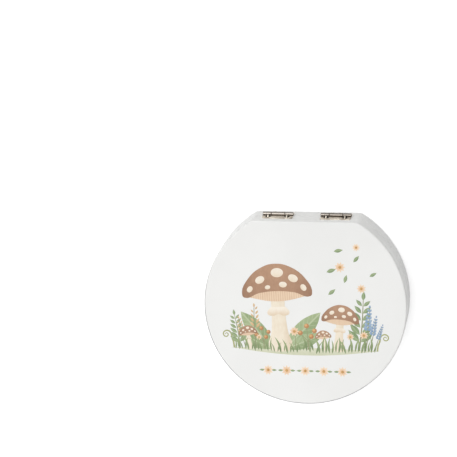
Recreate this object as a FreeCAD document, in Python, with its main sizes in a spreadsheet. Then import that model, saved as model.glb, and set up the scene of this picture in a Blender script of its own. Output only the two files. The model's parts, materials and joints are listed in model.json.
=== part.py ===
import FreeCAD, Part
import math
import os

import Sketcher

# A flat round keepsake box for milk teeth, lying on its base: a disc with one straight side,
# parted at half its height. Two small butt hinges on the straight side carry the lid.
# X runs along the straight side, Y points out of it, Z is up.
# The origin is the centre of the round outline, on the underside.

teeth_per_arch = 10
tolerance = 1e-6

doc = FreeCAD.newDocument("tooth_box")
sheet = doc.addObject("Spreadsheet::Sheet", "Sizes")
driving_sizes = [
    ("outer_radius", 57.0, "radius of the round outline"),
    ("flat_width", 58.9, "width of the straight side, from corner to corner"),
    ("corner_radius", 5.0, "rounding where the straight side meets the round"),
    ("base_height", 12.5, "height of the base"),
    ("lid_height", 12.5, "height of the lid"),
    ("seam_gap", 0.2, "space between the closed lid and the base"),
    ("rim_width", 6.5, "width of the two wall rings"),
    ("rim_corner", 4.0, "rounding of the inner corners of the rings"),
    ("floor_thickness", 3.0, "thickness of the bottom board"),
    ("panel_thickness", 3.0, "thickness of the lid's top board"),
    ("edge_round", 1.0, "rounding of the top and the bottom outer edge"),
    ("seam_round", 0.5, "rounding of the outer edges along the seam"),
    ("tray_clearance", 0.2, "space between the tray and the ring around it"),
    ("tray_drop", 1.0, "how far the tray lies below the top of the base"),
    ("socket_margin", 5.0, "wood between a socket and the edge of the tray"),
    ("socket_wall", 2.1, "wood between two sockets of an arch, where they stand closest"),
    ("socket_ease", 0.5, "chamfer at the mouths of the sockets and the well"),
    ("jaw_opening", 24.0, "degrees between the upper and the lower arch, at each side"),
    ("well_border", 9.0, "wood between the sockets and the well in the middle"),
    ("magnet_diameter", 4.0, "diameter of a closing magnet"),
    ("magnet_thickness", 2.0, "thickness of a closing magnet"),
    ("magnet_edge", 0.25, "chamfer of a magnet's edges"),
    ("magnet_clearance", 0.1, "space around a magnet in its pocket"),
    ("magnet_recess", 0.1, "how far a magnet lies below the face of its ring"),
    ("magnet_angle", 15.0, "degrees from the middle of the front to a magnet"),
    ("hinge_width", 17.0, "length of a hinge along its pin"),
    ("hinge_inset", 4.7, "from the end of the straight side to a hinge"),
    ("leaf_sheet", 0.5, "thickness of the sheet that a leaf is rolled from"),
    ("leaf_reach", 7.2, "from the pin's axis to the far edge of a leaf"),
    ("leaf_corner", 1.0, "rounding of a leaf's outer corners"),
    ("curl_turn", 285.0, "degrees that a knuckle's curl goes round the pin"),
    ("middle_knuckle", 7.6, "length of the middle knuckle"),
    ("knuckle_gap", 0.15, "space between two knuckles"),
    ("knuckle_relief", 0.3, "space between a knuckle and the other leaf"),
    ("pin_diameter", 1.0, "diameter of a hinge pin"),
    ("pin_clearance", 0.05, "space around the pin in its knuckles"),
    ("pin_stand", 0.3, "how far the rounded pin ends stand out of the knuckles"),
    ("pin_round", 0.2, "rounding of the pin's ends"),
    ("nail_spacing", 10.5, "distance between the two nails of a lid leaf"),
    ("nail_pass", 0.35, "space between the heads of the lid's and the base's nails, with the lid open"),
    ("nail_diameter", 1.0, "diameter of a nail's shank"),
    ("nail_head_diameter", 2.4, "diameter of a nail's head"),
    ("nail_head_height", 0.9, "height of a nail's domed head"),
    ("nail_tip", 0.9, "length of a nail's point"),
    ("nail_cover", 2.0, "wood left behind a nail's point"),
    ("nail_clearance", 0.1, "space around a nail in its leaf"),
    ("pilot_clearance", 0.03, "space around a nail in the wood"),
]
for row, (alias, number, meaning) in enumerate(driving_sizes, 1):
    sheet.set(f"A{row}", meaning)
    sheet.set(f"B{row}", str(number))
    sheet.setAlias(f"B{row}", alias)
doc.recompute()

# Formulas that several sub-parts share
flat_offset = "sqrt(Sizes.outer_radius^2 - (Sizes.flat_width / 2)^2)"
inner_radius = "(Sizes.outer_radius - Sizes.rim_width)"
inner_flat = f"({flat_offset} - Sizes.rim_width)"
base_wall = "(Sizes.base_height - Sizes.floor_thickness)"
lid_bottom = "(Sizes.base_height + Sizes.seam_gap)"
lid_wall = "(Sizes.lid_height - Sizes.panel_thickness)"
panel_bottom = f"({lid_bottom} + {lid_wall})"
tray_top = "(Sizes.base_height - Sizes.tray_drop)"
arch_step = f"((180 - Sizes.jaw_opening) / {teeth_per_arch - 1})"
arch_turn = f"({arch_step} * pi / 180)"
arch_room = f"(({inner_radius} + {inner_flat}) / 2 - Sizes.tray_clearance - Sizes.socket_margin)"
socket_radius = f"(({arch_turn} * {arch_room} - Sizes.socket_wall) / (2 + {arch_turn}))"
socket_inset = f"(Sizes.tray_clearance + Sizes.socket_margin + {socket_radius})"
arch_side = f"({inner_radius} - {socket_inset})"
arch_back = f"({inner_flat} - {socket_inset})"
arch_depth = f"(({arch_back} + {arch_side}) / 2)"
arch_middle = f"(({arch_back} - {arch_side}) / 2)"
well_radius = f"({arch_depth} - {socket_radius} - Sizes.well_border)"
magnet_ring = "(Sizes.outer_radius - Sizes.rim_width / 2)"
magnet_x = f"({magnet_ring} * sin(Sizes.magnet_angle))"
magnet_y = f"(-{magnet_ring} * cos(Sizes.magnet_angle))"
magnet_pocket = "(Sizes.magnet_thickness + Sizes.magnet_recess)"
bore_radius = "(Sizes.pin_diameter / 2 + Sizes.pin_clearance)"
barrel_radius = f"({bore_radius} + Sizes.leaf_sheet)"
pin_y = f"({flat_offset} + {barrel_radius})"
pin_height = "(Sizes.base_height + Sizes.seam_gap / 2)"
hinge_x = "(Sizes.flat_width / 2 - Sizes.hinge_inset - Sizes.hinge_width / 2)"
leaf_setback = f"({barrel_radius} + Sizes.knuckle_relief)"
nail_reach = f"(({leaf_setback} + Sizes.leaf_reach) / 2)"
nail_bite = "(Sizes.rim_width - Sizes.nail_cover)"
# From the middle of a hinge to a nail: the base's heads lie between the lid's when the lid is open
nail_offset = {
    "lid": "(Sizes.nail_spacing / 2)",
    "base": "(Sizes.nail_spacing / 2 - Sizes.nail_head_diameter - Sizes.nail_pass)",
}

sides = {"left": "-", "right": ""}
halves = {"base": "-", "lid": ""}
subparts = []


def number_of(formula):
    return float(sheet.evalExpression(formula))


def new_body(label):
    body = doc.addObject("PartDesign::Body", label)
    body.Label = label
    subparts.append(body)
    return body


def place(body, x, y, z):
    for axis, formula in (("x", x), ("y", y), ("z", z)):
        body.setExpression(f"Placement.Base.{axis}", formula)


def new_sketch(body, purpose, role, offset="0"):
    plane = next(item for item in body.Origin.OriginFeatures if item.Role == role)
    sketch = body.newObject("Sketcher::SketchObject", f"{body.Name}_{purpose}")
    sketch.AttachmentSupport = [(plane, "")]
    sketch.MapMode = "FlatFace"
    sketch.setExpression("AttachmentOffset.Base.z", offset)
    return sketch


def hold(sketch, kind, *where):
    sketch.addConstraint(Sketcher.Constraint(kind, *where))


def dimension(sketch, formula, kind, *where):
    index = sketch.addConstraint(Sketcher.Constraint(kind, *where, number_of(formula)))
    sketch.setExpression(f"Constraints[{index}]", formula)


def draw_line(sketch, start, end):
    return sketch.addGeometry(Part.LineSegment(FreeCAD.Vector(*start, 0), FreeCAD.Vector(*end, 0)))


def draw_arc(sketch, middle, radius, start, end):
    circle = Part.Circle(FreeCAD.Vector(*middle, 0), FreeCAD.Vector(0, 0, 1), radius)
    return sketch.addGeometry(Part.ArcOfCircle(circle, start, end))


def draw_circle(sketch, radius, x="0", y="0"):
    middle = FreeCAD.Vector(number_of(x), number_of(y), 0)
    circle = sketch.addGeometry(Part.Circle(middle, FreeCAD.Vector(0, 0, 1), number_of(radius)))
    dimension(sketch, radius, "Radius", circle)
    dimension(sketch, x, "DistanceX", -1, 1, circle, 3)
    dimension(sketch, y, "DistanceY", -1, 1, circle, 3)


def draw_rectangle(sketch, left, right, bottom, top):
    x0, x1, y0, y1 = (number_of(formula) for formula in (left, right, bottom, top))
    corners = [(x0, y0), (x1, y0), (x1, y1), (x0, y1)]
    lines = [draw_line(sketch, corners[i], corners[(i + 1) % 4]) for i in range(4)]
    for i, line in enumerate(lines):
        hold(sketch, "Coincident", line, 2, lines[(i + 1) % 4], 1)
        hold(sketch, "Vertical" if i % 2 else "Horizontal", line)
    dimension(sketch, left, "DistanceX", -1, 1, lines[0], 1)
    dimension(sketch, bottom, "DistanceY", -1, 1, lines[0], 1)
    dimension(sketch, right, "DistanceX", -1, 1, lines[2], 1)
    dimension(sketch, top, "DistanceY", -1, 1, lines[2], 1)


def draw_outline(sketch, radius, flat, corner):
    # A round arc about the origin, the straight side, and a small tangent arc at each end of it
    r, f, c = (number_of(formula) for formula in (radius, flat, corner))
    corner_x = math.sqrt((r - c) ** 2 - (f - c) ** 2)
    meet = math.atan2(f - c, corner_x)
    round_arc = draw_arc(sketch, (0, 0), r, math.pi - meet, 2 * math.pi + meet)
    right_arc = draw_arc(sketch, (corner_x, f - c), c, meet, math.pi / 2)
    straight = draw_line(sketch, (corner_x, f), (-corner_x, f))
    left_arc = draw_arc(sketch, (-corner_x, f - c), c, math.pi / 2, math.pi - meet)
    loop = [round_arc, right_arc, straight, left_arc]
    for i, piece in enumerate(loop):
        hold(sketch, "Tangent", piece, 2, loop[(i + 1) % 4], 1)
    hold(sketch, "Coincident", round_arc, 3, -1, 1)
    hold(sketch, "Horizontal", straight)
    hold(sketch, "Equal", right_arc, left_arc)
    dimension(sketch, radius, "Radius", round_arc)
    dimension(sketch, corner, "Radius", right_arc)
    dimension(sketch, flat, "DistanceY", -1, 1, straight, 1)


def pad(body, sketch, length, symmetric=False):
    feature = body.newObject("PartDesign::Pad", f"{sketch.Name}_pad")
    feature.Profile = sketch
    feature.SideType = "Symmetric" if symmetric else "One side"
    feature.setExpression("Length", length)
    doc.recompute()
    return feature


def pocket(body, sketch, depth=None, reversed_cut=False):
    # Without a depth the cut goes right through, both ways
    before = body.Shape.Volume
    feature = body.newObject("PartDesign::Pocket", f"{sketch.Name}_pocket")
    feature.Profile = sketch
    feature.Reversed = reversed_cut
    if depth:
        feature.setExpression("Length", depth)
    else:
        feature.Type = "ThroughAll"
        feature.SideType = "Symmetric"
    doc.recompute()
    if body.Shape.Volume > before - tolerance:
        raise RuntimeError(f"{feature.Name} cuts nothing")
    return feature


def dress(body, kind, feature, edges, amount):
    names = [f"Edge{i}" for i, edge in enumerate(feature.Shape.Edges, 1) if any(map(edge.isSame, edges))]
    dressed = body.newObject(f"PartDesign::{kind}", f"{feature.Name}_{kind.lower()}")
    dressed.Base = (feature, names)
    dressed.setExpression("Radius" if kind == "Fillet" else "Size", amount)
    doc.recompute()
    return dressed


def level_face(feature, height):
    level = number_of(height)
    for face in feature.Shape.Faces:
        box = face.BoundBox
        if max(abs(box.ZMin - level), abs(box.ZMax - level)) < tolerance:
            return face
    raise RuntimeError(f"{feature.Name} has no level face at {level}")


def board(label, bottom, thickness, rounded_face):
    body = new_body(label)
    outline = new_sketch(body, "outline", "XY_Plane", bottom)
    draw_outline(outline, "Sizes.outer_radius", flat_offset, "Sizes.corner_radius")
    plate = pad(body, outline, thickness)
    dress(body, "Fillet", plate, level_face(plate, rounded_face).OuterWire.Edges, "Sizes.edge_round")


def rim(half, bottom, height, seam_face):
    body = new_body(f"{half}_rim")
    outline = new_sketch(body, "outline", "XY_Plane", bottom)
    draw_outline(outline, "Sizes.outer_radius", flat_offset, "Sizes.corner_radius")
    draw_outline(outline, inner_radius, inner_flat, "Sizes.rim_corner")
    ring = pad(body, outline, height)
    dress(body, "Fillet", ring, level_face(ring, seam_face).OuterWire.Edges, "Sizes.seam_round")

    magnets = new_sketch(body, "magnets", "XY_Plane", seam_face)
    for sign in sides.values():
        draw_circle(magnets, "Sizes.magnet_diameter / 2 + Sizes.magnet_clearance", sign + magnet_x, magnet_y)
    pocket(body, magnets, magnet_pocket, reversed_cut=half == "lid")

    pilots = new_sketch(body, "pilots", "XZ_Plane", f"-{flat_offset}")
    pilot_z = f"{pin_height} + {halves[half]}{nail_reach}"
    for sign in sides.values():
        for nail_sign in ("-", "+"):
            pilot_x = f"{sign}{hinge_x} {nail_sign} {nail_offset[half]}"
            draw_circle(pilots, "Sizes.nail_diameter / 2 + Sizes.pilot_clearance", pilot_x, pilot_z)
    pocket(body, pilots, f"{nail_bite} + Sizes.pilot_clearance", reversed_cut=True)


def tooth_tray():
    # Drilled board: two arches of sockets, as the teeth stand in the mouth, round a wide well
    body = new_body("tooth_tray")
    outline = new_sketch(body, "outline", "XY_Plane", "Sizes.floor_thickness")
    clearance = "Sizes.tray_clearance"
    draw_outline(
        outline,
        f"{inner_radius} - {clearance}",
        f"{inner_flat} - {clearance}",
        f"Sizes.rim_corner - {clearance}",
    )
    pad(body, outline, f"{tray_top} - Sizes.floor_thickness")

    holes = new_sketch(body, "holes", "XY_Plane", tray_top)
    draw_circle(holes, well_radius, "0", arch_middle)
    for arch_start in (0, 180):
        for tooth in range(teeth_per_arch):
            angle = f"({arch_start} + Sizes.jaw_opening / 2 + {arch_step} * {tooth})"
            socket_x = f"{arch_side} * cos({angle})"
            socket_y = f"{arch_middle} + {arch_depth} * sin({angle})"
            draw_circle(holes, socket_radius, socket_x, socket_y)
    drilled = pocket(body, holes)

    top = level_face(drilled, tray_top)
    mouths = [edge for wire in top.Wires if not wire.isSame(top.OuterWire) for edge in wire.Edges]
    dress(body, "Chamfer", drilled, mouths, "Sizes.socket_ease")


def magnet(half, side, bottom):
    body = new_body(f"{half}_magnet_{side}")
    outline = new_sketch(body, "outline", "XY_Plane")
    draw_circle(outline, "Sizes.magnet_diameter / 2")
    disc = pad(body, outline, "Sizes.magnet_thickness")
    rings = [edge for edge in disc.Shape.Edges if edge.isClosed()]
    dress(body, "Chamfer", disc, rings, "Sizes.magnet_edge")
    place(body, sides[side] + magnet_x, magnet_y, bottom)


def hinge_leaf(half, side):
    # Rolled from one strip, with the pin's axis at the body's origin: the strip lies against
    # the wood at -Y, passes under the pin and curls round it. The base's leaf is turned over.
    body = new_body(f"{side}_hinge_{half}_leaf")
    profile = new_sketch(body, "profile", "YZ_Plane")
    outer, inner, reach = (number_of(size) for size in (barrel_radius, bore_radius, "Sizes.leaf_reach"))
    curl_end = math.pi + math.radians(number_of("Sizes.curl_turn"))
    outer_curl = draw_arc(profile, (0, 0), outer, math.pi, curl_end)
    inner_curl = draw_arc(profile, (0, 0), inner, math.pi, curl_end)
    wood_face = draw_line(profile, (-outer, 0), (-outer, reach))
    far_edge = draw_line(profile, (-outer, reach), (-inner, reach))
    front_face = draw_line(profile, (-inner, reach), (-inner, 0))
    end_x, end_y = math.cos(curl_end), math.sin(curl_end)
    curl_tip = draw_line(profile, (outer * end_x, outer * end_y), (inner * end_x, inner * end_y))
    for curl in (outer_curl, inner_curl):
        hold(profile, "Coincident", curl, 3, -1, 1)
    hold(profile, "Tangent", outer_curl, 1, wood_face, 1)
    hold(profile, "Tangent", inner_curl, 1, front_face, 2)
    hold(profile, "Coincident", wood_face, 2, far_edge, 1)
    hold(profile, "Coincident", far_edge, 2, front_face, 1)
    hold(profile, "Coincident", outer_curl, 2, curl_tip, 1)
    hold(profile, "Coincident", inner_curl, 2, curl_tip, 2)
    hold(profile, "PointOnObject", -1, 1, curl_tip)
    hold(profile, "Vertical", wood_face)
    hold(profile, "Vertical", front_face)
    hold(profile, "Horizontal", far_edge)
    dimension(profile, barrel_radius, "Radius", outer_curl)
    dimension(profile, bore_radius, "Radius", inner_curl)
    dimension(profile, "Sizes.leaf_reach", "DistanceY", -1, 1, far_edge, 1)
    angle = profile.addConstraint(
        Sketcher.Constraint("Angle", outer_curl, math.radians(number_of("Sizes.curl_turn")))
    )
    profile.setExpression(f"Constraints[{angle}]", "Sizes.curl_turn * 1 deg")
    strip = pad(body, profile, "Sizes.hinge_width", symmetric=True)

    half_width = number_of("Sizes.hinge_width / 2")
    corners = []
    for edge in strip.Shape.Edges:
        middle = edge.BoundBox.Center
        across = edge.BoundBox.XLength < tolerance and edge.BoundBox.ZLength < tolerance
        if across and abs(middle.z - reach) < tolerance and abs(abs(middle.x) - half_width) < tolerance:
            corners.append(edge)
    dress(body, "Fillet", strip, corners, "Sizes.leaf_corner")

    notches = new_sketch(body, "notches", "XZ_Plane")
    notch_bottom = f"-{leaf_setback}"
    if half == "lid":
        notch = "(Sizes.middle_knuckle / 2 + Sizes.knuckle_gap)"
        draw_rectangle(notches, f"-{notch}", notch, notch_bottom, leaf_setback)
    else:
        near = "(Sizes.middle_knuckle / 2)"
        far = "(Sizes.hinge_width / 2 + Sizes.knuckle_relief)"
        draw_rectangle(notches, near, far, notch_bottom, leaf_setback)
        draw_rectangle(notches, f"-{far}", f"-{near}", notch_bottom, leaf_setback)
    pocket(body, notches)

    holes = new_sketch(body, "nail_holes", "XZ_Plane")
    for nail_sign in ("-", ""):
        hole_radius = "Sizes.nail_diameter / 2 + Sizes.nail_clearance"
        draw_circle(holes, hole_radius, nail_sign + nail_offset[half], nail_reach)
    pocket(body, holes)

    if half == "base":
        body.Placement.Rotation = FreeCAD.Rotation(FreeCAD.Vector(0, 1, 0), 180)
    place(body, sides[side] + hinge_x, pin_y, pin_height)


def hinge_pin(side):
    body = new_body(f"{side}_hinge_pin")
    outline = new_sketch(body, "outline", "YZ_Plane")
    draw_circle(outline, "Sizes.pin_diameter / 2")
    rod = pad(body, outline, "Sizes.hinge_width + 2 * Sizes.pin_stand", symmetric=True)
    ends = [edge for edge in rod.Shape.Edges if edge.isClosed()]
    dress(body, "Fillet", rod, ends, "Sizes.pin_round")
    place(body, sides[side] + hinge_x, pin_y, pin_height)


def nail(half, side, end):
    # Turned about Y: domed head outside the leaf, tapered point in the wood
    body = new_body(f"{side}_hinge_{half}_nail_{end}")
    profile = new_sketch(body, "profile", "XY_Plane")
    shank = "Sizes.nail_diameter / 2"
    length = f"(Sizes.leaf_sheet + {nail_bite})"
    taper_start = f"({length} - Sizes.nail_tip)"
    head, shank_r = number_of("Sizes.nail_head_diameter / 2"), number_of(shank)
    dome, depth, taper = (number_of(size) for size in ("Sizes.nail_head_height", length, taper_start))
    dome_radius = (head**2 + dome**2) / (2 * dome)
    dome_rise = dome_radius - dome
    crown = draw_arc(profile, (0, -dome_rise), dome_radius, math.atan2(dome_rise, head), math.pi / 2)
    axis = draw_line(profile, (0, dome), (0, -depth))
    point = draw_line(profile, (0, -depth), (shank_r, -taper))
    side_line = draw_line(profile, (shank_r, -taper), (shank_r, 0))
    under_head = draw_line(profile, (shank_r, 0), (head, 0))
    loop = [crown, axis, point, side_line, under_head]
    for i, piece in enumerate(loop):
        hold(profile, "Coincident", piece, 2, loop[(i + 1) % 5], 1)
    hold(profile, "PointOnObject", crown, 3, -2)
    hold(profile, "PointOnObject", axis, 1, -2)
    hold(profile, "PointOnObject", axis, 2, -2)
    hold(profile, "PointOnObject", under_head, 1, -1)
    hold(profile, "PointOnObject", under_head, 2, -1)
    hold(profile, "Vertical", side_line)
    dimension(profile, "Sizes.nail_head_diameter / 2", "DistanceX", -1, 1, under_head, 2)
    dimension(profile, "Sizes.nail_head_height", "DistanceY", -1, 1, axis, 1)
    dimension(profile, shank, "DistanceX", -1, 1, side_line, 1)
    dimension(profile, f"-{length}", "DistanceY", -1, 1, axis, 2)
    dimension(profile, f"-{taper_start}", "DistanceY", -1, 1, side_line, 1)
    turned = body.newObject("PartDesign::Revolution", f"{profile.Name}_turned")
    turned.Profile = profile
    turned.ReferenceAxis = (profile, ["V_Axis"])
    turned.Angle = 360
    doc.recompute()
    outward = "+" if (side == "right") == (end == "outer") else "-"
    nail_x = f"{sides[side]}{hinge_x} {outward} {nail_offset[half]}"
    nail_z = f"{pin_height} + {halves[half]}{nail_reach}"
    place(body, nail_x, f"{flat_offset} + Sizes.leaf_sheet", nail_z)


def write_parts():
    doc.recompute()
    for item in doc.Objects:
        if "Invalid" in item.State or "Error" in item.State:
            raise RuntimeError(f"{item.Name} failed: {item.State}")
    for body in subparts:
        if body.Shape.isNull() or not body.Shape.isValid() or len(body.Shape.Solids) != 1:
            raise RuntimeError(f"{body.Label} is not one valid solid")
    os.makedirs("parts", exist_ok=True)
    for body in subparts:
        body.Shape.exportStep(f"parts/{body.Label}.step")
        print(f"{body.Label}: {body.Shape.Volume:.1f} mm3")


board("base_floor", "0", "Sizes.floor_thickness", "0")
rim("base", "Sizes.floor_thickness", base_wall, "Sizes.base_height")
tooth_tray()
rim("lid", lid_bottom, lid_wall, lid_bottom)
board("lid_panel", panel_bottom, "Sizes.panel_thickness", f"{panel_bottom} + Sizes.panel_thickness")
for side in sides:
    magnet("base", side, f"Sizes.base_height - {magnet_pocket}")
    magnet("lid", side, f"{lid_bottom} + Sizes.magnet_recess")
    hinge_pin(side)
    for half in halves:
        hinge_leaf(half, side)
        for end in ("inner", "outer"):
            nail(half, side, end)
write_parts()
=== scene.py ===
import json
import math
import random
import bpy
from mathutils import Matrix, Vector


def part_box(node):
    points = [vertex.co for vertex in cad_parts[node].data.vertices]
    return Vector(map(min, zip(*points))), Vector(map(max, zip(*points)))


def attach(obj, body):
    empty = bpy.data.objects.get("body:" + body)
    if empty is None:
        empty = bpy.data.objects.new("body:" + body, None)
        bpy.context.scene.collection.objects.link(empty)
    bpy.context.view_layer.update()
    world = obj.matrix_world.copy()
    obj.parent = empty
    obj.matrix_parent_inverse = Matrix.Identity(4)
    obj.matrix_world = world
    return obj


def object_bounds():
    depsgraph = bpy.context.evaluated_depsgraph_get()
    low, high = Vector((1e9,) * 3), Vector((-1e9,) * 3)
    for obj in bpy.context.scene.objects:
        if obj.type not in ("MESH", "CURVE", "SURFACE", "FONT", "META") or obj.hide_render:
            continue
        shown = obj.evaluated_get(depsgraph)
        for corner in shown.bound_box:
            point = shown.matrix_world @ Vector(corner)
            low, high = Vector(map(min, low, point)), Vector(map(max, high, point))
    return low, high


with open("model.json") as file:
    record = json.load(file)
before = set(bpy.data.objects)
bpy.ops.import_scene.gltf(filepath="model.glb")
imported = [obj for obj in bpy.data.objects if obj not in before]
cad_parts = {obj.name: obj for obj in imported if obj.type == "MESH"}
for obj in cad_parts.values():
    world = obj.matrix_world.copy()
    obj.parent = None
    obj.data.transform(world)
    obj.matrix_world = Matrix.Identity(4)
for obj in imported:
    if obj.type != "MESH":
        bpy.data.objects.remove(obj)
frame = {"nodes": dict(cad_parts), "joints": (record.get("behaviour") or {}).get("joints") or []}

mm = 0.001
cadBox = [list(corner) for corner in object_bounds()]
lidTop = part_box("lid_panel")[1].z
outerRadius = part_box("lid_panel")[1].x
pinPlace = Vector(frame["joints"][0]["pos_m"])
print("frame loaded:", len(frame["nodes"]), "pieces, lid top at", round(lidTop / mm, 2), "mm")


# shader maths: a wire is one socket, and an expression on wires adds Math nodes
class Wire:
    def __init__(self, tree, socket=None):
        self.tree = tree
        self.socket = socket

    def add(self, kind, settings, values, out=0):
        node = self.tree.nodes.new(kind)
        for name, value in settings.items():
            setattr(node, name, value)
        for name, value in values.items():
            if isinstance(value, Wire):
                self.tree.links.new(value.socket, node.inputs[name])
            else:
                node.inputs[name].default_value = value
        return Wire(self.tree, node.outputs[out] if node.outputs else None)

    def maths(self, operation, first, second=0.0):
        return self.add("ShaderNodeMath", {"operation": operation}, {0: first, 1: second})

    def __add__(self, other):
        return self.maths("ADD", self, other)

    def __radd__(self, other):
        return self.maths("ADD", other, self)

    def __sub__(self, other):
        return self.maths("SUBTRACT", self, other)

    def __rsub__(self, other):
        return self.maths("SUBTRACT", other, self)

    def __mul__(self, other):
        return self.maths("MULTIPLY", self, other)

    def __rmul__(self, other):
        return self.maths("MULTIPLY", other, self)

    def __truediv__(self, other):
        return self.maths("DIVIDE", self, other)

    def __pow__(self, other):
        return self.maths("POWER", self, other)

    def __abs__(self):
        return self.maths("ABSOLUTE", self)

    def most(self, other):
        return self.maths("MAXIMUM", self, other)

    def ease(self, start, end):                     # 0 at start, 1 at end, smooth between
        return self.add("ShaderNodeMapRange", {"interpolation_type": "SMOOTHSTEP"},
                        {"Value": self, "From Min": start, "From Max": end})

    def zigzag(self, length):                       # up from 0 to length and down again, over and over
        return self.maths("PINGPONG", self, length)

    def parts(self):                                # x, y and z of a vector
        return [self.add("ShaderNodeSeparateXYZ", {}, {"Vector": self}, axis) for axis in "XYZ"]

    def place(self):
        return self.add("ShaderNodeTexCoord", {}, {}, "Object")

    def stretch(self, scale):
        return self.add("ShaderNodeMapping", {}, {"Vector": self, "Scale": scale})

    def noise(self, scale, detail=2.0, roughness=0.5, distortion=0.0):
        return self.add("ShaderNodeTexNoise", {}, {"Vector": self, "Scale": scale, "Detail": detail,
                                                   "Roughness": roughness, "Distortion": distortion})

    def mix(self, share, first, second):            # two colours by a share
        return self.add("ShaderNodeMix", {"data_type": "RGBA"}, {0: share, 6: first, 7: second}, 2)

    def bump(self, height, depth, strength=1.0):
        return self.add("ShaderNodeBump", {}, {"Height": height, "Distance": depth, "Strength": strength})

    def seen(self):                                 # rays that show the plain white background
        rays = [self.add("ShaderNodeLightPath", {}, {}, "Is " + name + " Ray")
                for name in ("Camera", "Glossy", "Transmission")]
        return rays[0].most(rays[1]).most(rays[2])


def tint(red, green, blue):                         # a colour as read on a screen, made linear
    parts = [level / 255 for level in (red, green, blue)]
    return [part / 12.92 if part < 0.0405 else ((part + 0.055) / 1.055) ** 2.4 for part in parts] + [1]


def startFinish(name):
    finish = bpy.data.materials.new(name)
    finish.use_nodes = True
    finish.node_tree.nodes.clear()
    return finish, Wire(finish.node_tree)


def closeFinish(pen, sockets):
    shader = pen.add("ShaderNodeBsdfPrincipled", {}, sockets)
    pen.add("ShaderNodeOutputMaterial", {}, {"Surface": shader})


# satin white paint on fibreboard
paintLook = {
    "white": tint(238, 238, 236),
    "drift": tint(235, 235, 233),
    "driftScale": 28,
    "edgeShade": tint(164, 164, 166),                    # painted shade on the lid's rounded edge
    "edgeRadius": 1.0 * mm,
    "edgeShadeSide": (-0.5, -0.87),                      # x and y of the side that the painted shade is on
    "edgeShadeStart": (0.003, 0.045),                    # how far the edge leans where the painted shade starts
    "edgeShadeEnd": (0.3, 0.8),                          # and how upright it is where that ends
    "edgeShadePatches": 0.25,
    "patchScale": 160,
    "roughness": 0.40,
    "roughnessDrift": 0.14,
    "stippleScale": 2200,                           # roller stipple, about 0.5 mm
    "stippleRoughness": 0.08,
    "peelScale": 420,                               # slow orange peel, about 2.5 mm
    "depth": 0.012 * mm,
    "ior": 1.47,
}


def paintedEdgeShade(place):                                # painted shade: 1 where the lid's face starts to round off, on its front side
    look = paintLook
    radius = look["edgeRadius"]
    across, back = look["edgeShadeSide"]
    x, y, z = place.parts()
    reach = (x * x + y * y) ** 0.5
    lean = ((reach - outerRadius) / radius + 1).most(0)         # sine of the edge's lean
    up = (1 - lean * lean).most(0) ** 0.5
    edge = (1 - up).ease(*look["edgeShadeStart"]) * up.ease(*look["edgeShadeEnd"])
    side = ((x * across + y * back) / reach * lean).ease(0, 0.35)
    onLid = z.ease(lidTop - radius * 1.1, lidTop - radius)
    patches = place.noise(look["patchScale"], 3).ease(0.42, 0.62) * look["edgeShadePatches"]
    return edge * side * onLid * (1 - look["edgeShadePatches"] + patches)


def satinPaint():
    look = paintLook
    finish, pen = startFinish("satinWhitePaint")
    place = pen.place()
    drift = place.noise(look["driftScale"], 3)
    stipple = place.noise(look["stippleScale"], 2)
    peel = place.noise(look["peelScale"], 1)
    colour = pen.mix(drift.ease(0.35, 0.7), look["white"], look["drift"])
    # painted shade along the lid's rounded edge on its front side
    colour = pen.mix(paintedEdgeShade(place), colour, look["edgeShade"])
    roughness = look["roughness"] + (drift - 0.5) * look["roughnessDrift"]
    closeFinish(pen, {
        "Base Color": colour,
        "Roughness": roughness + (stipple - 0.5) * look["stippleRoughness"],
        "Normal": pen.bump(stipple * 0.6 + peel, look["depth"], 0.5),
        "IOR": look["ior"],
    })
    return finish


# pale steamed beech: long grain, short dark rays and fine pores
beechLook = {
    "light": tint(226, 196, 156),
    "dark": tint(203, 165, 122),
    "ray": tint(160, 116, 78),
    "roughness": 0.5,
    "ringScale": 60,
    "ringShare": 0.6,                               # how much each one darkens the wood
    "bandScale": 55,
    "bandShare": 0.4,
    "rayScale": 620,
    "rayShare": 0.55,
    "poreScale": 2600,
    "poreShare": 0.22,
    "depth": 0.03 * mm,
}


def beechWood():
    look = beechLook
    finish, pen = startFinish("paleBeech")
    place = pen.place()
    along = place.stretch((0.12, 1, 1))             # the grain runs along X
    rings = along.noise(look["ringScale"], 4, 0.55, 0.6)
    band = pen.add("ShaderNodeTexWave", {"wave_type": "BANDS", "bands_direction": "Y"},
                   {"Vector": along, "Scale": look["bandScale"], "Distortion": 5.0, "Detail": 3.0,
                    "Detail Scale": 1.4}, "Fac")
    rays = place.stretch((0.28, 1, 0.6)).noise(look["rayScale"], 2).ease(0.60, 0.70)
    pores = place.stretch((0.05, 1, 1)).noise(look["poreScale"], 1)
    grain = rings.ease(0.3, 0.7) * look["ringShare"] + band * look["bandShare"]
    colour = pen.mix(grain, look["light"], look["dark"])
    colour = pen.mix(rays * look["rayShare"], colour, look["ray"])
    colour = pen.mix(pores.ease(0.55, 0.8) * look["poreShare"], colour, look["ray"])
    closeFinish(pen, {
        "Base Color": colour,
        "Roughness": look["roughness"] + (rings - 0.5) * 0.2 + rays * 0.1,
        "Normal": pen.bump(1 - rays * 0.6 - pores * 0.5, look["depth"], 0.4),
    })
    return finish
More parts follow.
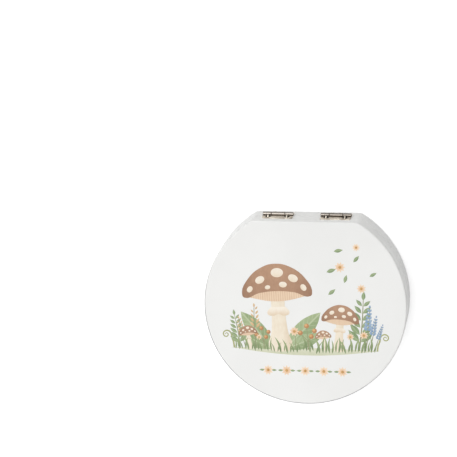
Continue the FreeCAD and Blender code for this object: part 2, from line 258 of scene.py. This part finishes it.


# warm nickel hinges, rubbed bright on the crown, with patina and painted shade in the corners and under the
# barrel, and painted shade and dark reflections round the nails
hingeLook = {
    # random bright patches, partly painted glints
    "bright": tint(222, 213, 198),
    "warm": tint(168, 157, 143),
    "crown": tint(152, 146, 139),                   # the barrel's rubbed top
    "dullCrown": tint(128, 122, 115),               # and that of the right hinge, less rubbed
    "patina": tint(74, 63, 54),
    # painted dark reflections on the nail heads and painted shadow round them
    "nailShadeColour": tint(20, 15, 12),
    "dullness": 0.95,                               # how little metal shows through patina and painted shade
    "patinaAndShadeIor": 1.06,                             # hardly any gloss where patina and painted shade lie
    "roughness": 0.24,
    "nailRoughness": 0.22,
    "brushScale": 3600,
    "brushDepth": 0.004 * mm,
    "cloudScale": 320,
    "specks": 0.35,
    "speckScale": 900,
    "nailCloudScale": 700,
    "nailCloudDepth": 0.01 * mm,
    "middleKnuckle": 7.6 * mm,
    "jointLine": (0.10 * mm, 0.32 * mm),            # the dark line at a knuckle's end fades over this
    "cornerLine": (0.1 * mm, 0.5 * mm),             # and the dark line under the barrel, patina and painted shade in the crease, over this
    "barrelEdge": (1.01, 1.12),                     # in barrel radii, where the leaf starts
    "cornerReach": 1.15,
    "crownWay": (0.45, 0.89),                       # the barrel's top, kept clear of painted shade, faces back (y) and up (z)
    "flankShadeStart": (0.72, 0.94),                      # cosine of the turn from there, where the painted shade starts
    "flankShadeEnd": (-0.5, 0),                          # and where it ends, on the underside
    "patinaAndShade": 0.9,
    "nailStripe": (0.2, 0.48),                      # in head radii: the bright stripe down a nail, left clear of painted shade, fades here
    "nailShadeFade": (1.275, 1.5),                      # and the painted shade beside it here
    "nailShadeRagged": 0.6,
    "nailShadeScale": 1300,
}
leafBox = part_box("right_hinge_lid_leaf")
barrelRadius = pinPlace.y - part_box("lid_rim")[1].y
hingeX = (leafBox[0].x + leafBox[1].x) / 2


def shadeBesideNail(place, half):                        # painted dark reflection and shade: 1 on both flanks of the four nails of a half, and round them
    look = hingeLook
    low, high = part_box("right_hinge_" + half + "_nail_outer")
    head = (high.x - low.x) / 2
    x, z = place.parts()[::2]
    offX = abs(abs(abs(x) - hingeX) - abs((low.x + high.x) / 2 - hingeX)) / head
    offZ = (z - (low.z + high.z) / 2) / head
    ragged = (place.noise(look["nailShadeScale"], 2) - 0.5) * look["nailShadeRagged"]
    away = (offX * offX + offZ * offZ) ** 0.5 + ragged
    nailShade = 1 - away.ease(*look["nailShadeFade"])
    return nailShade * offX.ease(*look["nailStripe"])


# painted dark reflections on the nail heads' flanks and painted shade round them, for both halves
def paintedNailShade(place):
    return shadeBesideNail(place, "lid").most(shadeBesideNail(place, "base"))


def hingeMetal():
    look = hingeLook
    finish, pen = startFinish("warmNickel")
    place = pen.place()
    x, y, z = place.parts()
    brush = place.stretch((0.04, 1, 1)).noise(look["brushScale"], 2)
    cloud = place.noise(look["cloudScale"], 3)
    speck = place.noise(look["speckScale"], 3).ease(0.58, 0.72)
    aside = y - pinPlace.y
    above = z - pinPlace.z
    reach = (aside * aside + above * above) ** 0.5
    barrelStart, barrelEnd = look["barrelEdge"]
    barrel = 1 - reach.ease(barrelRadius * barrelStart, barrelRadius * barrelEnd)
    back, up = look["crownWay"]
    turn = (aside * back + above * up) / reach      # 1 on the rubbed top, -1 opposite
    # painted shade and dark reflection on the barrel's flanks
    flankShade = barrel * (1 - turn.ease(*look["flankShadeStart"])) * turn.ease(*look["flankShadeEnd"])
    fromJoint = abs(abs(abs(x) - hingeX) - look["middleKnuckle"] / 2)
    joint = barrel * (1 - fromJoint.ease(*look["jointLine"]))
    # patina and painted shade in the crease where the leaf meets the barrel
    fromCorner = abs(reach - barrelRadius * look["cornerReach"])
    corner = (1 - fromCorner.ease(*look["cornerLine"])) * (1 - barrel)
    # patina and painted shade together, with the dark lines at the knuckles' ends
    patinaAndShade = (flankShade * look["patinaAndShade"]).most(joint).most(corner * look["patinaAndShade"])
    # painted dark reflections and shade at the nails
    nailShade = paintedNailShade(place)
    # random bright and warm patches, the bright ones partly painted glints
    colour = pen.mix(cloud.ease(0.35, 0.68), look["bright"], look["warm"])
    colour = pen.mix(barrel, colour, pen.mix(x.ease(0, hingeX), look["crown"], look["dullCrown"]))
    colour = pen.mix(speck * look["specks"], colour, look["patina"])
    colour = pen.mix(patinaAndShade, colour, look["patina"])
    colour = pen.mix(nailShade, colour, look["nailShadeColour"])
    closeFinish(pen, {
        "Base Color": colour,
        # the metal turns dull where patina and painted shade lie, so that they stay dark
        "Metallic": 1 - patinaAndShade.most(nailShade) * look["dullness"],
        "Roughness": look["roughness"] + (brush - 0.5) * 0.18 + cloud * 0.1 + nailShade * 0.2,
        "IOR": look["patinaAndShadeIor"],
        "Normal": pen.bump(brush, look["brushDepth"], 0.4),
    })
    return finish


def nailSteel():
    look = hingeLook
    finish, pen = startFinish("rubbedNailSteel")
    place = pen.place()
    cloud = place.noise(look["nailCloudScale"], 3)
    # painted dark reflections on the heads' flanks
    nailShade = paintedNailShade(place)
    colour = pen.mix(cloud.ease(0.4, 0.7) * 0.5, look["bright"], look["patina"])
    colour = pen.mix(nailShade, colour, look["nailShadeColour"])
    closeFinish(pen, {
        "Base Color": colour,
        "Metallic": 1 - nailShade * look["dullness"],
        "Roughness": look["nailRoughness"] + (cloud - 0.5) * 0.2 + nailShade * 0.2,
        "IOR": look["patinaAndShadeIor"],
        "Normal": pen.bump(cloud, look["nailCloudDepth"], 0.4),
    })
    return finish


# nickel plated magnets with fine scuffs
magnetLook = {
    "bright": tint(158, 160, 164),
    "scuff": tint(112, 112, 114),
    "scuffScale": 1500,
    "roughness": 0.2,
    "depth": 0.005 * mm,
}


def magnetNickel():
    look = magnetLook
    finish, pen = startFinish("platedMagnet")
    scuff = pen.place().noise(look["scuffScale"], 4, 0.7).ease(0.52, 0.7)
    closeFinish(pen, {
        "Base Color": pen.mix(scuff * 0.6, look["bright"], look["scuff"]),
        "Metallic": 1.0,
        "Roughness": look["roughness"] + scuff * 0.25,
        "Normal": pen.bump(scuff, look["depth"], 0.3),
    })
    return finish


def dress(words, finish):                           # every node whose name holds one of the words
    for name, node in frame["nodes"].items():
        if any(word in name for word in words):
            for materialSlot in node.material_slots:
                materialSlot.material = finish


dress(["floor", "rim", "panel"], satinPaint())
dress(["tray"], beechWood())
dress(["leaf", "pin"], hingeMetal())
dress(["nail"], nailSteel())
dress(["magnet"], magnetNickel())
print("finishes on the box, tray, hinges, nails and magnets")


# the lid's printed picture: thin ink films on the painted face, one piece for each ink
filmLook = {
    "thick": 0.024 * mm,
    "step": 0.003 * mm,                             # a shape lies this much over those that it covers
    "weld": 0.0005 * mm,
    "curveSteps": 6,
    "seed": 11,
    "tone": 0.35,                                   # how much a shape's own tone darkens its ink
    "brush": 0.25,                                  # and brush marks and a wash
    "brushScale": 900,
    "wash": 0.2,
    "washScale": 260,
    "sideRibs": 8,                                  # over a leaf's length
    "ribSlant": 1.7,
    "ribLine": (0.03, 0.14),                        # a rib fades over this
    "roughness": 0.48,
    "depth": 0.006 * mm,
}
# a shade darkens an ink along its shape's map: the way, where it starts and ends, and how much
inks = {
    "Ground": {"light": tint(222, 222, 200), "dark": tint(200, 203, 172), "shade": ("up", 1, 0, 0.5)},
    "BroadLeaves": {"light": tint(172, 187, 144), "dark": tint(132, 153, 106), "vein": tint(196, 205, 170),
                    "shade": ("up", 0.53, 0.47, 0.4)},
    "Stems": {"light": tint(152, 154, 116), "dark": tint(118, 124, 86)},
    "Fern": {"light": tint(176, 178, 122), "dark": tint(138, 144, 88)},
    "Leaves": {"light": tint(154, 171, 126), "dark": tint(108, 134, 92), "vein": tint(184, 194, 158),
               "shade": ("up", 0.53, 0.47, 0.4)},
    "Grass": {"light": tint(164, 178, 130), "dark": tint(106, 128, 82), "shade": ("up", 0.9, 0, 0.6)},
    "Stalks": {"light": tint(243, 233, 214), "dark": tint(222, 203, 176), "shade": ("across", 0.5, 1, 0.65)},
    "Skirts": {"light": tint(248, 240, 226), "dark": tint(226, 206, 178), "shade": ("up", 0.8, 0, 0.75)},
    "Gills": {"light": tint(240, 216, 188), "dark": tint(206, 168, 134), "lines": 30},
    "Caps": {"light": tint(190, 150, 120), "dark": tint(150, 112, 86), "rim": (0.35, 1.6)},
    "Spots": {"light": tint(246, 238, 224), "dark": tint(232, 214, 188), "shade": ("up", 0.7, 0, 0.5)},
    "Lavender": {"light": tint(168, 189, 210), "dark": tint(112, 141, 175), "shade": ("across", 1, 0, 0.5)},
    "Seeds": {"light": tint(230, 201, 156), "dark": tint(196, 157, 110), "shade": ("across", 1, 0, 0.5)},
    "Petals": {"light": tint(248, 228, 203), "dark": tint(228, 186, 144), "shade": ("across", 0.8, 0, 0.6)},
    "Berries": {"light": tint(226, 176, 118), "dark": tint(172, 118, 74), "glint": (0.36, 0.66)},
    "Hearts": {"light": tint(216, 170, 104), "dark": tint(178, 130, 72), "shade": ("up", 1, 0, 0.5)},
}
inkShapes = {ink: [] for ink in inks}
modelSteps = {}                                     # how many steps a model of several shapes takes up
lidLayers = []                                      # corners and top step of each shape on the lid
dice = random.Random(filmLook["seed"])


def selectOnly(*objects):
    bpy.ops.object.select_all(action="DESELECT")
    for item in objects:
        item.select_set(True)
    bpy.context.view_layer.objects.active = objects[0]


def joined(objects):
    selectOnly(*objects)
    bpy.ops.object.join()
    return bpy.context.object


def outerCorners(shape):                            # lowest and highest x and y
    spots = [vertex.co for vertex in shape.data.vertices]
    return [[pick(spot[axis] for spot in spots) for axis in (0, 1)] for pick in (min, max)]


def drawCurve(points):                              # points in mm; a third entry marks a sharp corner
    bpy.ops.object.select_all(action="DESELECT")
    bpy.ops.curve.primitive_bezier_curve_add()
    drawn = bpy.context.object
    spline = drawn.data.splines[0]
    spline.bezier_points.add(len(points) - 2)
    for knot, point in zip(spline.bezier_points, points):
        kind = "VECTOR" if len(point) > 2 else "AUTO"
        knot.co = (point[0] * mm, point[1] * mm, 0)
        knot.handle_left_type = kind
        knot.handle_right_type = kind
    spline.use_cyclic_u = True
    drawn.data.dimensions = "2D"
    drawn.data.fill_mode = "BOTH"
    drawn.data.extrude = filmLook["thick"] / 2
    drawn.data.resolution_u = filmLook["curveSteps"]
    return drawn


def outline(points):                                # a closed film with a map over its length and width
    film = drawCurve(points)
    selectOnly(film)
    bpy.ops.object.convert(target="MESH")
    bpy.ops.object.mode_set(mode="EDIT")
    bpy.ops.mesh.select_all(action="SELECT")
    bpy.ops.mesh.remove_doubles(threshold=filmLook["weld"])
    bpy.ops.mesh.normals_make_consistent(inside=False)
    bpy.ops.object.mode_set(mode="OBJECT")
    mesh = film.data
    for layer in list(mesh.uv_layers):
        mesh.uv_layers.remove(layer)
    inkMap = mesh.uv_layers.new(name="inkMap")
    low, high = outerCorners(film)
    for loop in mesh.loops:
        spot = mesh.vertices[loop.vertex_index].co
        inkMap.data[loop.index].uv = [(spot[axis] - low[axis]) / (high[axis] - low[axis]) for axis in (0, 1)]
    return film


def stroke(points, widths):                         # a line that swells and thins, widths in mm
    left = []
    right = []
    for index, (spot, width) in enumerate(zip(points, widths)):
        along = Vector(points[min(index + 1, len(points) - 1)]) - Vector(points[max(index - 1, 0)])
        aside = along.orthogonal().normalized() * width / 2
        end = [1] if index in (0, len(points) - 1) else []
        left.append([*(Vector(spot) + aside), *end])
        right.append([*(Vector(spot) - aside), *end])
    return outline(left + right[::-1])


def oval(width, height):
    return outline([(-width / 2, 0), (0, -height / 2), (width / 2, 0), (0, height / 2)])


def blade(length, width):                           # leaf form from a point at the origin along X
    belly = length * 0.42
    return outline([(0, 0, 1), (belly, -width / 2), (length, 0, 1), (belly, width / 2)])


def copyOf(model, x, y, turn=0.0, size=1.0, side=1, lift=0.0, tone=0.5):
    selectOnly(model)
    bpy.ops.object.duplicate(linked=False)
    copied = bpy.context.object
    copied.location = (side * x * mm, y * mm, lift)
    copied.rotation_euler = (0, 0, math.radians(turn if side > 0 else 180 - turn))
    copied.scale = (size, size * side, 1)
    bpy.ops.object.transform_apply()
    bpy.ops.object.mode_set(mode="EDIT")            # a mirrored copy is turned right side out
    bpy.ops.mesh.select_all(action="SELECT")
    bpy.ops.mesh.normals_make_consistent(inside=False)
    bpy.ops.object.mode_set(mode="OBJECT")
    if "tone" not in copied.data.attributes:
        copied.data.attributes.new("tone", "FLOAT", "POINT")
    tones = copied.data.attributes["tone"].data
    tones.foreach_set("value", [tone] * len(tones))
    return copied


def lay(shape, steps, laid):                        # raises a shape over those that it covers
    low, high = outerCorners(shape)
    covered = [top for lowest, highest, top in laid
               if all(low[axis] < highest[axis] and lowest[axis] < high[axis] for axis in (0, 1))]
    bottom = max(covered, default=0)
    laid.append((low, high, bottom + steps))
    selectOnly(shape)
    shape.location.z = bottom * filmLook["step"]
    bpy.ops.object.transform_apply()
    return shape


def bunch(shapes):                                  # several shapes as one model
    laid = []
    model = joined([lay(shape, 1, laid) for shape in shapes])
    modelSteps[model.name] = max(top for low, high, top in laid)
    return model


def cluster(model, spots):                          # copies of one shape as one model
    copies = [copyOf(model, *spot) for spot in spots]
    bpy.data.objects.remove(model)
    return bunch(copies)


def stamp(motif, x, y, turn=0.0, size=1.0, side=1):  # a copy of each ink of a motif, on the lid
    for ink, model in motif.items():
        copied = copyOf(model, x, y, turn, size, side, lidTop, dice.random())
        inkShapes[ink].append(lay(copied, modelSteps.get(model.name, 1), lidLayers))


# plants with pairs of leaves, flowers or seeds up a stem, in mm and degrees, drawn up Y from the foot
spikeLooks = {
    "leafTwig": {
        "ink": "Leaves", "form": blade, "length": 7.2, "width": 2.8,
        "rows": 6, "first": 4, "rise": 3.2, "stagger": 0, "aside": 0.3, "narrowing": 0,
        "lean": 46, "shrink": 0.09, "tip": 22.4, "tipSize": 0.6,
        "stem": [(0, 0), (0.3, 12), (0, 23)], "stemWidths": [0.6, 0.5, 0.3],
    },
    "lavender": {
        "ink": "Lavender", "form": oval, "length": 2.3, "width": 1.5,
        "rows": 6, "first": 11, "rise": 1.75, "stagger": 0, "aside": 1.0, "narrowing": 0.1,
        "lean": 34, "shrink": 0.08, "tip": 21.5, "tipSize": 0.6,
        "stem": [(0, 0), (0.4, 9), (0, 20)], "stemWidths": [0.5, 0.44, 0.3],
    },
    "seedStalk": {
        "ink": "Seeds", "form": blade, "length": 3.6, "width": 1.35,
        "rows": 5, "first": 10, "rise": 2.4, "stagger": 0.8, "aside": 0.5, "narrowing": 0,
        "lean": 36, "shrink": 0.1, "tip": 21.5, "tipSize": 0.7,
        "stem": [(0, 0), (-0.5, 10), (0, 22)], "stemWidths": [0.46, 0.4, 0.28],
    },
}


def spike(look):
    spots = []
    for row in range(look["rows"]):
        for way in (-1, 1):
            x = way * (look["aside"] - look["narrowing"] * row)
            y = look["first"] + look["rise"] * row + look["stagger"] * way
            spots.append((x, y, 90 - look["lean"] * way, 1 - look["shrink"] * row))
    spots.append((0, look["tip"], 90, look["tipSize"]))
    return {
        "Stems": stroke(look["stem"], look["stemWidths"]),
        look["ink"]: cluster(look["form"](look["length"], look["width"]), spots),
    }


berryLook = {
    "tips": [(3.2, 9.2), (-0.4, 11.8), (-3.4, 8.2), (1.6, 6.2)],
    "fork": (0.1, 3.6),
    "footSpread": 0.06,
    "twigWidths": [0.5, 0.42, 0.32],
    "berry": 2.5,
}


def berryTwig():
    look = berryLook
    twigs = [stroke([(x * look["footSpread"], 0), look["fork"], (x, y)], look["twigWidths"])
             for x, y in look["tips"]]
    return {
        "Stems": bunch(twigs),
        "Berries": cluster(oval(look["berry"], look["berry"]), [(x * 1.1, y + 0.7) for x, y in look["tips"]]),
    }


daisyLook = {
    "petals": 9,
    "petalLength": 3.1,
    "petalWidth": 1.4,
    "petalStart": 0.5,                              # mm from the middle
    "heart": 1.9,
    "stemBow": 0.5,
    "stemWidths": [0.5, 0.44, 0.36],
}


def daisy(height):                                  # without a stem where the height is 0
    look = daisyLook
    turns = [math.tau * index / look["petals"] for index in range(look["petals"])]
    start = look["petalStart"]
    petals = [(start * math.cos(turn), height + start * math.sin(turn), math.degrees(turn)) for turn in turns]
    flower = {}
    if height:
        stem = [(0, 0), (look["stemBow"], height / 2), (0, height)]
        flower["Stems"] = stroke(stem, look["stemWidths"])
    flower["Petals"] = cluster(blade(look["petalLength"], look["petalWidth"]), petals)
    flower["Hearts"] = cluster(oval(look["heart"], look["heart"]), [(0, height)])
    return flower


toadstoolLook = {                                   # outlines in mm, up Y from the foot
    "stalk": [(-5.2, 0.6), (-3.9, 9), (-3.3, 18), (-3.4, 28, 1), (3.6, 28, 1), (3.6, 18), (4.4, 9),
              (5.8, 0.5), (0.2, -1.4)],
    "skirt": [(-5.4, 18.4), (-2.6, 17.2), (0.2, 18.1), (2.9, 17.1), (5.7, 18.5), (3.9, 21.8, 1),
              (-3.7, 21.8, 1)],
    "gills": [(-16.9, 27.6, 1), (0, 24.6), (16.9, 27.5, 1), (0, 30.6)],
    "cap": [(-17.6, 28.6), (-14.4, 36.4), (-6.6, 42.6), (0, 44), (6.8, 42.4), (14.6, 36), (17.6, 28.4),
            (16.6, 26.9), (9, 29.0), (0, 29.9), (-9, 29.1), (-16.6, 27.0)],
    "spots": [(0.5, 39.4, 0, 1.35), (-8.3, 35.9, 28, 1.05), (8.4, 36.3, -26, 1.1), (-13.6, 31.2, 55, 0.75),
              (13.4, 31.4, -58, 0.8), (3.2, 33.2, -6, 0.85), (-4.6, 32.0, 10, 0.6)],
    "spotWidth": 4.6,
    "spotHeight": 3.5,
}


def toadstool():
    look = toadstoolLook
    return {
        "Stalks": outline(look["stalk"]),
        "Skirts": outline(look["skirt"]),
        "Gills": outline(look["gills"]),
        "Caps": outline(look["cap"]),
        "Spots": cluster(oval(look["spotWidth"], look["spotHeight"]), look["spots"]),
    }


leafLook = {                                        # outlines in mm
    "broad": [(0, 0, 1), (7, 3.8), (15, 5.0), (23, 3.2), (28, 0.4, 1), (22, -2.8), (14, -4.4), (6, -3.2)],
    "grass": [(0.1, -0.8, 1), (-0.5, 1.4), (-0.35, 5), (1.7, 9.6, 1), (0.75, 5), (0.6, 1.4)],
}


def broadLeaf():
    return {"BroadLeaves": outline(leafLook["broad"])}


def looseLeaf():
    return {"Leaves": blade(spikeLooks["leafTwig"]["length"], spikeLooks["leafTwig"]["width"])}


def grassBlade():
    return {"Grass": outline(leafLook["grass"])}


fernLook = {
    "stalk": [(0, 0), (-0.9, 6), (-2.6, 11)],
    "centre": (-8.2, 14.0),
    "radius": 5.0,
    "shrink": 0.87,                                 # the coil shrinks by this share each knot
    "knots": 12,
    "start": 10,                                    # degrees
    "turn": 48,
    "widths": (1.7, 0.7),
}


def fernCurl():
    look = fernLook
    path = list(look["stalk"])
    x, y = look["centre"]
    for knot in range(look["knots"]):
        angle = math.radians(look["start"] + look["turn"] * knot)
        radius = look["radius"] * look["shrink"] ** knot
        path.append((x + radius * math.cos(angle), y + radius * math.sin(angle)))
    thick, edgeShade = look["widths"]
    widths = [thick - (thick - edgeShade) * index / (len(path) - 1) for index in range(len(path))]
    return {"Fern": stroke(path, widths)}


meadowLook = {
    "line": -25,                                    # mm, the height that the plants stand on
    "reach": 42,                                    # half the meadow's width
    "ground": [(-1, 0.2, 1), (-0.45, -2.6), (0, -3.4), (0.45, -2.6),    # x as a share of the reach, y in mm
               (1, 0.2, 1), (0.4, 0.9), (-0.4, 0.9)],
    "plants": {                                     # x in mm, lean and size; a fourth entry mirrors
        "broadLeaf": [(-18, 130, 1.0), (-18, 155, 0.75), (-11, 47, 1.05), (-10, 24, 0.8)],
        "fern": [(-40, 0, 0.55), (40.5, 0, 0.55, 1)],
        "leafTwig": [(30.5, -4, 1.3), (-36.5, 10, 0.85)],
        "lavender": [(34, -5, 1.2), (36, -11, 0.95), (38.5, -18, 0.75)],
        "seedStalk": [(-27.5, 3, 1.1), (-33.5, 13, 0.8)],
        "berryTwig": [(-23, 6, 0.95), (1.8, 2, 1.1)],
        "toadstool": [(-14, 3, 1.12), (18.5, -4, 0.60), (-31, 8, 0.30), (11, 6, 0.26)],
        "tallDaisy": [(-5.5, 3, 0.8), (25, -3, 0.62), (-26, 0, 0.5), (32.5, -3, 0.7)],
    },
    "tallDaisy": 13,
    "grassBlades": 44,
    "grassReach": 0.93,                             # share of the meadow's width
    "grassDrop": (0, 2),                            # mm below the line, lean and size, least and most
    "grassLean": (-18, 10),
    "grassSize": (0.5, 1),
    "breeze": {                                     # x and y in mm, turn and size
        "looseLeaf": [(13, 7, 40, 0.75), (22, 14, 75, 0.7), (12, 20, 20, 0.8), (27, 26, 50, 0.7),
                      (16, 32, 10, 0.75), (36, 18, 30, 0.65)],
        "daisy": [(19.5, 23, 0, 0.85), (31.5, 11, 20, 0.75), (28.5, 34.5, 35, 0.65)],
    },
    "borderY": -37.5,                               # a straight row of daisies and leaves below
    "borderStep": 10.5,
    "borderCount": 5,
    "borderDaisy": 0.85,
    "borderLeaf": 0.42,
    "borderLeafX": 2,                               # mm from a daisy's middle
}


def groundStrip():
    look = meadowLook
    return {"Ground": outline([(x * look["reach"], y, *sharp) for x, y, *sharp in look["ground"]])}


def drawMotifs():
    motifs = {name: spike(look) for name, look in spikeLooks.items()}
    motifs["ground"] = groundStrip()
    motifs["broadLeaf"] = broadLeaf()
    motifs["fern"] = fernCurl()
    motifs["berryTwig"] = berryTwig()
    motifs["toadstool"] = toadstool()
    motifs["tallDaisy"] = daisy(meadowLook["tallDaisy"])
    motifs["daisy"] = daisy(0)
    motifs["looseLeaf"] = looseLeaf()
    motifs["grass"] = grassBlade()
    return motifs


def stampGrass(grass):
    look = meadowLook
    for index in range(look["grassBlades"]):
        share = look["grassReach"] * (2 * index / (look["grassBlades"] - 1) - 1)
        side = 1 if index % 2 else -1
        drop = dice.uniform(*look["grassDrop"]) * (1 - share ** 2)      # the ground thins to its ends
        lean = dice.uniform(*look["grassLean"])
        size = dice.uniform(*look["grassSize"])
        stamp(grass, side * look["reach"] * share, look["line"] - drop, lean, size, side)


def stampBorder(flower, leaf):
    look = meadowLook
    for index in range(look["borderCount"]):
        x = look["borderStep"] * (index - (look["borderCount"] - 1) / 2)
        stamp(flower, x, look["borderY"], 90, look["borderDaisy"])
        for side in (1, -1):
            stamp(leaf, side * x + look["borderLeafX"], look["borderY"], 0, look["borderLeaf"], side)


def stampMeadow():
    look = meadowLook
    motifs = drawMotifs()
    stamp(motifs["ground"], 0, look["line"])
    for kind, spots in look["plants"].items():
        for x, lean, size, *mirror in spots:
            side = -1 if mirror else 1
            stamp(motifs[kind], side * x, look["line"], lean, size, side)
    stampGrass(motifs["grass"])
    for kind, spots in look["breeze"].items():
        for x, y, turn, size in spots:
            stamp(motifs[kind], x, y, turn, size)
    stampBorder(motifs["daisy"], motifs["looseLeaf"])
    for motif in motifs.values():
        for model in motif.values():
            bpy.data.objects.remove(model)


def inkFinish(ink):
    look = inks[ink]
    finish, pen = startFinish("ink" + ink)
    across, up = pen.add("ShaderNodeUVMap", {"uv_map": "inkMap"}, {}).parts()[:2]
    tone = pen.add("ShaderNodeAttribute", {"attribute_name": "tone"}, {}, "Fac")
    place = pen.place()
    brush = place.stretch((1, 0.35, 1)).noise(filmLook["brushScale"], 3).ease(0.3, 0.7)
    wash = place.noise(filmLook["washScale"], 2).ease(0.35, 0.65)
    share = tone * filmLook["tone"] + brush * filmLook["brush"] + wash * filmLook["wash"]
    if "shade" in look:
        way, start, end, depth = look["shade"]
        share = share * 0.7 + (up if way == "up" else across).ease(start, end) * depth
    if "rim" in look:                               # darker low down and at both sides
        low, sides = look["rim"]
        share = share * 0.6 + (1 - up) * low + (across - 0.5) * (across - 0.5) * sides
    if "lines" in look:                             # fine lines side by side
        share = share * 0.4 + ((across - 0.5) * look["lines"]).zigzag(0.5) * 1.1
    if "glint" in look:                             # a light spot up left
        x, y = look["glint"]
        share = share * 0.4 + ((across - x) ** 2 + (up - y) ** 2).ease(0.01, 0.14) * 0.75
    colour = pen.mix(share, look["light"], look["dark"])
    if "vein" in look:                              # a midrib, and side ribs that slant to the tip
        edge = abs(up - 0.5) * 2
        midrib = 1 - edge.ease(*filmLook["ribLine"])
        slanted = across * filmLook["sideRibs"] - edge * filmLook["ribSlant"]
        ribs = 1 - slanted.zigzag(0.5).ease(*filmLook["ribLine"])
        colour = pen.mix(midrib.most(ribs * 0.55) * 0.7, colour, look["vein"])
    closeFinish(pen, {
        "Base Color": colour,
        "Roughness": filmLook["roughness"] + (brush - 0.5) * 0.1,
        "Normal": pen.bump(brush, filmLook["depth"], 0.3),
    })
    return finish


def printLid():
    stampMeadow()
    for ink, shapes in inkShapes.items():
        piece = joined(shapes)
        piece.name = "lidPrint" + ink
        piece.data.materials.clear()
        piece.data.materials.append(inkFinish(ink))
        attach(piece, "lid")
        print("printed", piece.name, len(piece.data.polygons), "faces")


printLid()


# floor, light and camera
floorLook = {
    "size": 6.0,
    "gap": 0.02 * mm,                               # below the box
    "level": 0.78,
    "speck": 0.985,                                 # share of the level
    "speckScale": 300,
    "glow": 0.52,                                   # only where it is seen, so that the paper looks white
}


def grey(level):
    return [level, level, level, 1]


def layFloor():
    look = floorLook
    bpy.ops.object.select_all(action="DESELECT")
    bpy.ops.mesh.primitive_plane_add(size=look["size"], location=(0, 0, cadBox[0][2] - look["gap"]))
    floor = bpy.context.object
    floor.name = "studioFloor"
    finish, pen = startFinish("palePaper")
    speck = pen.place().noise(look["speckScale"], 2)
    colour = pen.mix(speck, grey(look["level"]), grey(look["level"] * look["speck"]))
    paper = pen.add("ShaderNodeBsdfDiffuse", {}, {"Color": colour})
    glow = pen.add("ShaderNodeEmission", {}, {"Color": grey(1), "Strength": look["glow"]})
    white = pen.add("ShaderNodeAddShader", {}, {0: paper, 1: glow})
    both = pen.add("ShaderNodeMixShader", {}, {0: pen.seen(), 1: paper, 2: white})
    pen.add("ShaderNodeOutputMaterial", {}, {"Surface": both})
    floor.data.materials.append(finish)


skyLook = {"near": 0.75, "far": 0.23}               # the side light fades towards +X


def hangSky():
    sky = bpy.data.worlds.new("studioSky")
    bpy.context.scene.world = sky
    sky.use_nodes = True
    sky.node_tree.nodes.clear()
    pen = Wire(sky.node_tree)
    toward = pen.add("ShaderNodeTexCoord", {}, {}, "Generated").parts()[0]
    fade = pen.mix(toward * 0.5 + 0.5, grey(skyLook["near"]), grey(skyLook["far"]))
    shade = pen.add("ShaderNodeBackground", {}, {"Color": fade})
    white = pen.add("ShaderNodeBackground", {}, {"Color": grey(1)})
    both = pen.add("ShaderNodeMixShader", {}, {0: pen.seen(), 1: shade, 2: white})
    pen.add("ShaderNodeOutputWorld", {}, {"Surface": both})


lamps = {                                           # place and aim in metres, size, power in watts
    "keyLamp": {"place": (-0.20, 0.50, 1.05), "aim": (0, 0, 0.02), "size": 0.7, "power": 5.3},
    "fillLamp": {"place": (-0.14, -0.48, 0.66), "aim": (0, -0.05, 0.02), "size": 0.5, "power": 1.68},
}


def hangLamps():
    for name, lamp in lamps.items():
        bpy.ops.object.light_add(type="AREA", location=lamp["place"])
        light = bpy.context.object
        light.name = name
        light.data.size = lamp["size"]
        light.data.energy = lamp["power"]
        toward = Vector(lamp["aim"]) - Vector(lamp["place"])
        light.rotation_euler = toward.to_track_quat("-Z", "Y").to_euler()


cameraLook = {
    "lens": 185.0,                                  # mm
    "sensor": 36,
    "place": (0.13970, 0.34021, 1.28561),           # metres
    "turn": (-13.192, 8.090, -0.621),               # degrees
}


def setCamera():
    bpy.ops.object.camera_add(location=cameraLook["place"],
                              rotation=[math.radians(angle) for angle in cameraLook["turn"]])
    camera = bpy.context.object
    camera.data.lens = cameraLook["lens"]
    camera.data.sensor_width = cameraLook["sensor"]
    camera.data.dof.use_dof = False
    bpy.context.scene.camera = camera


layFloor()
hangSky()
hangLamps()
setCamera()
bpy.context.scene.view_settings.view_transform = "Standard"
print("floor, sky, lamps and camera set")
